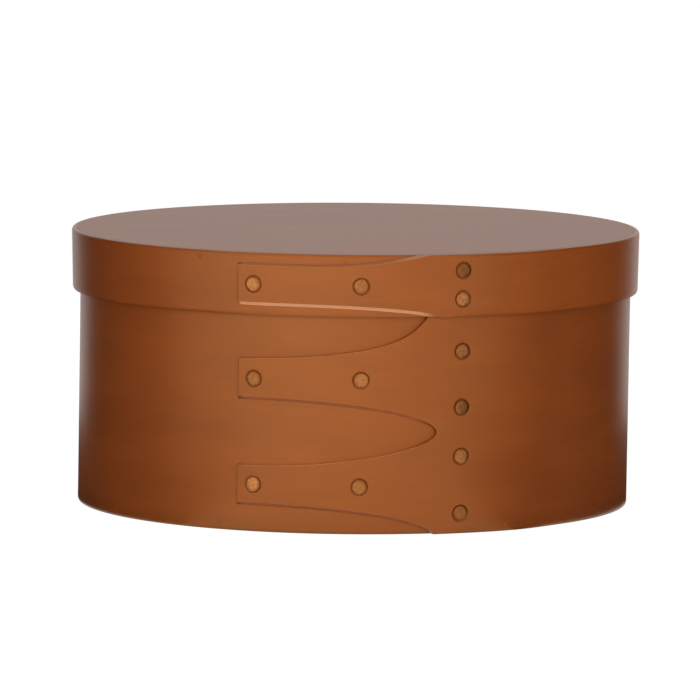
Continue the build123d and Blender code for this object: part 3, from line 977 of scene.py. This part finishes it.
# Hammered copper tacks, darkened under the varnish: small dull mirrors, some nearly brown from
# patina and painted dark reflection
def copperMaterial(look):
    material = bpy.data.materials.new("hammeredCopper")
    tree = emptyTree(material)
    place = addNode(tree, "ShaderNodeTexCoord").outputs["Object"]
    marks = addNode(tree, "ShaderNodeTexNoise", {
        "Vector": place, "Scale": 1 / (look["markMm"] * millimetre), "Detail": look["markDetail"],
    }).outputs["Fac"]
    patinaAndShade = addNode(tree, "ShaderNodeAttribute", attribute_name="patinaAndShade").outputs["Fac"]
    colour = addNode(tree, "ShaderNodeMix", {
        0: patinaAndShade, 6: linearColour(look["bright"]), 7: linearColour(look["dark"]),
    }, data_type="RGBA").outputs[2]
    mottle = addNode(tree, "ShaderNodeMapRange", {
        "Value": marks, "From Min": look["mottleRange"][0], "From Max": look["mottleRange"][1],
        "To Max": look["mottle"],
    }).outputs["Result"]
    mottled = addNode(tree, "ShaderNodeMix", {
        0: mottle, 6: colour, 7: linearColour(look["tarnish"]),
    }, data_type="RGBA").outputs[2]
    relief = addNode(tree, "ShaderNodeBump", {
        "Height": marks, "Strength": 1.0, "Distance": look["relief"] * millimetre,
    }).outputs["Normal"]
    shader = addNode(tree, "ShaderNodeBsdfPrincipled", {
        "Base Color": mottled, "Metallic": 1.0, "Roughness": look["roughness"], "Normal": relief,
    })
    addNode(tree, "ShaderNodeOutputMaterial", {"Surface": shader.outputs["BSDF"]})
    return material


# Making the pieces

measureHoop(sideHoop)
measureHoop(lidHoop)
print("hoops measured:", round(sideHoop["lapRadius"], 3), round(lidHoop["lapRadius"], 3))

bentMaple = woodMaterial("stainedBentMaple", stripLook, "stripMap")
boardMaple = woodMaterial("stainedBoardMaple", boardLook)
pegMaple = woodMaterial("stainedPegEnds", pegLook)
copper = copperMaterial(copperLook)
print("materials mixed")

addPiece("side_strip", stripShape(sideHoop, sideOutline(sideHoop)), bentMaple, "bent_maple", "box",
         "side_band")
addPiece("lid_strip", stripShape(lidHoop, lidOutline(lidHoop)), bentMaple, "bent_maple", "lid",
         "lid_band")
print("strips bent")

addPiece("bottom_round", boardShape(sideHoop), boardMaple, "board_maple", "box", "bottom_board")
addPiece("lid_round", boardShape(lidHoop), boardMaple, "board_maple", "lid", "lid_board")
print("boards laid")

for hoop, prefix, looks in ((sideHoop, "side", sideTackLooks), (lidHoop, "lid", lidTackLooks)):
    for number, (place, look) in enumerate(zip(hoop["tackPlaces"], looks), 1):
        shape = tackShape(hoop, *place, look, tackValues["phaseStep"] * number)
        addPiece(f"{prefix}_copper_tack_{number}", shape, copper, "copper", hoop["body"],
                 f"{prefix}_tack_{number}")
print("tacks clinched")

for hoop, prefix in ((sideHoop, "bottom"), (lidHoop, "lid")):
    for number in range(1, pegValues["count"] + 1):
        node = f"{prefix}_peg_{number:02d}"
        shape = pegShape(hoop, node, pegValues["phaseStep"] * number)
        addPiece(f"{prefix}_wood_peg_{number:02d}", shape, pegMaple, "peg_wood", hoop["body"], node)
print("pegs driven")


# Studio

cameraValues = {
    "place": (-1.89, -3558.0, 451.1),
    "pitchDown": 6.161,
    "roll": 0.467,
    "focalPixels": 7978.8,
    "halfPixel": 0.5,
    "pictureWidth": 700,
    "sensorWidth": 36.0,
    "clipEnd": 100.0,
}
cameraData = bpy.data.cameras.new("studioCamera")
cameraData.sensor_width = cameraValues["sensorWidth"]
cameraData.lens = (
    cameraValues["focalPixels"] / cameraValues["pictureWidth"] * cameraValues["sensorWidth"]
)
cameraData.shift_x = -cameraValues["halfPixel"] / cameraValues["pictureWidth"]
cameraData.shift_y = cameraValues["halfPixel"] / cameraValues["pictureWidth"]
cameraData.clip_end = cameraValues["clipEnd"]
camera = addObject("studioCamera", cameraData)
camera.matrix_world = (
    Matrix.Translation(Vector(cameraValues["place"]) * millimetre)
    @ Matrix.Rotation(radians(90 - cameraValues["pitchDown"]), 4, "X")
    @ Matrix.Rotation(radians(cameraValues["roll"]), 4, "Z")
)
bpy.context.scene.camera = camera

studio = {
    "white": "ffffff",
    "roomLevel": 0.2,
    "floorColour": "d8d8d6",
    "faintFloor": "7c7c7c",
    "floorShown": 0.965,
    "floorSize": 8.0,
    "floorHeight": -0.0002,
    "aimHeight": 0.06,
}


# 1 for what the camera sees, straight or in metal and glass, and 0 for light on things
def seenDirectly(tree):
    path = addNode(tree, "ShaderNodeLightPath")
    mirrored = addNode(tree, "ShaderNodeMath", {
        0: path.outputs["Is Glossy Ray"], 1: path.outputs["Is Transmission Ray"],
    }, operation="MAXIMUM").outputs[0]
    return addNode(tree, "ShaderNodeMath", {
        0: path.outputs["Is Camera Ray"], 1: mirrored,
    }, operation="MAXIMUM").outputs[0]


# A plain pale room: white where it is seen, and dim where it only lights
def makeWorld():
    world = bpy.data.worlds.new("studioRoom")
    bpy.context.scene.world = world
    tree = emptyTree(world)
    white = linearColour(studio["white"])
    dim, shown = [
        addNode(tree, "ShaderNodeBackground", {"Color": white, "Strength": level}).outputs[0]
        for level in (studio["roomLevel"], 1.0)
    ]
    mixed = addNode(tree, "ShaderNodeMixShader", {0: seenDirectly(tree), 1: dim, 2: shown}).outputs[0]
    addNode(tree, "ShaderNodeOutputWorld", {"Surface": mixed})


# Matt pale paper on the floor, which shows white and keeps a faint shadow
def makeFloor():
    half, level = studio["floorSize"] / 2, studio["floorHeight"]
    mesh = bpy.data.meshes.new("studioFloor")
    mesh.from_pydata(
        [(-half, -half, level), (half, -half, level), (half, half, level), (-half, half, level)],
        [], [(0, 1, 2, 3)],
    )
    material = bpy.data.materials.new("paleFloorPaper")
    tree = emptyTree(material)
    paper, faint = [
        addNode(tree, "ShaderNodeBsdfDiffuse", {"Color": linearColour(studio[name])}).outputs[0]
        for name in ("floorColour", "faintFloor")
    ]
    glow = addNode(tree, "ShaderNodeEmission", {
        "Color": linearColour(studio["white"]), "Strength": studio["floorShown"],
    }).outputs[0]
    shown = addNode(tree, "ShaderNodeAddShader", {0: faint, 1: glow}).outputs[0]
    mixed = addNode(tree, "ShaderNodeMixShader", {0: seenDirectly(tree), 1: paper, 2: shown})
    addNode(tree, "ShaderNodeOutputMaterial", {"Surface": mixed.outputs[0]})
    mesh.materials.append(material)
    addObject("studioFloor", mesh)


# Dark card left and right of the box, seen in its sheen alone: bearings where its floor part starts
# and ends, bearings where its upright part starts and ends, and its distance and height
cards = {
    "left": (-38.0, -158.0, -66.0, -131.0),
    "right": (34.0, 158.0, 49.0, 131.0),
    "nearEdge": 0.125,
    "distance": 0.37,
    "clearance": 0.0002,
    "height": 0.6,
    "columns": 25,
    "colour": "191919",
}


# A matt card curved round the box, on the floor and up, which keeps white out of its sides' sheen:
# points at even bearings on four arcs
def makeCard(name, floorStart, floorEnd, start, end):
    near, far, low = cards["nearEdge"], cards["distance"], cards["clearance"]
    arcs = np.array([
        (floorStart, floorEnd, near, low), (floorStart, floorEnd, far, low),
        (start, end, far, low), (start, end, far, cards["height"]),
    ])
    bearing = np.radians(np.linspace(arcs[:, 0], arcs[:, 1], cards["columns"], axis=1))
    reach, height = arcs[:, 2:3], arcs[:, 3:4] + 0 * bearing
    points = np.stack([reach * np.sin(bearing), -reach * np.cos(bearing), height], axis=-1)
    index = np.arange(bearing.size).reshape(bearing.shape)
    quads = np.stack([
        index[::2, :-1], index[1::2, :-1], index[1::2, 1:], index[::2, 1:],
    ], axis=-1)
    mesh = bpy.data.meshes.new(name)
    mesh.from_pydata(points.reshape(-1, 3).tolist(), [], quads.reshape(-1, 4).tolist())
    material = bpy.data.materials.new(name)
    tree = emptyTree(material)
    black = addNode(tree, "ShaderNodeBsdfDiffuse", {"Color": linearColour(cards["colour"])})
    addNode(tree, "ShaderNodeOutputMaterial", {"Surface": black.outputs[0]})
    mesh.materials.append(material)
    card = addObject(name, mesh)
    card.visible_camera = card.visible_diffuse = False
    card.visible_transmission = card.visible_shadow = False


# Bearing from the front in degrees, distance from the box, height, width, tall, watts, seen in gloss
softboxes = {
    "frontBox": (-5.5, 0.48, 0.13, 0.28, 0.22, 0.8, False),
    "sheenBox": (-34.0, 0.62, 0.12, 0.42, 0.22, 0.2, True),
    "rightBox": (60.0, 0.3, 0.1, 0.16, 0.1, 0.068, False),
    "topBox": (0.0, 0.1, 1.4, 1.2, 1.2, 0.5, False),
    "backLeftBox": (-147.0, 0.8, 0.14, 0.5, 0.4, 1.7, False),
    "backRightBox": (147.0, 0.8, 0.14, 0.5, 0.4, 1.7, False),
}


# A square lamp that faces the middle of the box
def makeSoftbox(name, bearing, distance, height, width, tall, watts, inGloss):
    data = bpy.data.lights.new(name, "AREA")
    data.shape = "RECTANGLE"
    data.size, data.size_y, data.energy = width, tall, watts
    lamp = addObject(name, data)
    angle = radians(bearing)
    lamp.location = (distance * sin(angle), -distance * cos(angle), height)
    aim = Vector((0, 0, studio["aimHeight"])) - lamp.location
    lamp.rotation_euler = aim.to_track_quat("-Z", "Y").to_euler()
    lamp.visible_camera = False
    lamp.visible_glossy = inGloss


makeWorld()
makeFloor()
for side in ("left", "right"):
    makeCard(side + "Card", *cards[side])
for name, values in softboxes.items():
    makeSoftbox(name, *values)
bpy.context.scene.view_settings.view_transform = "Standard"
print("studio set")
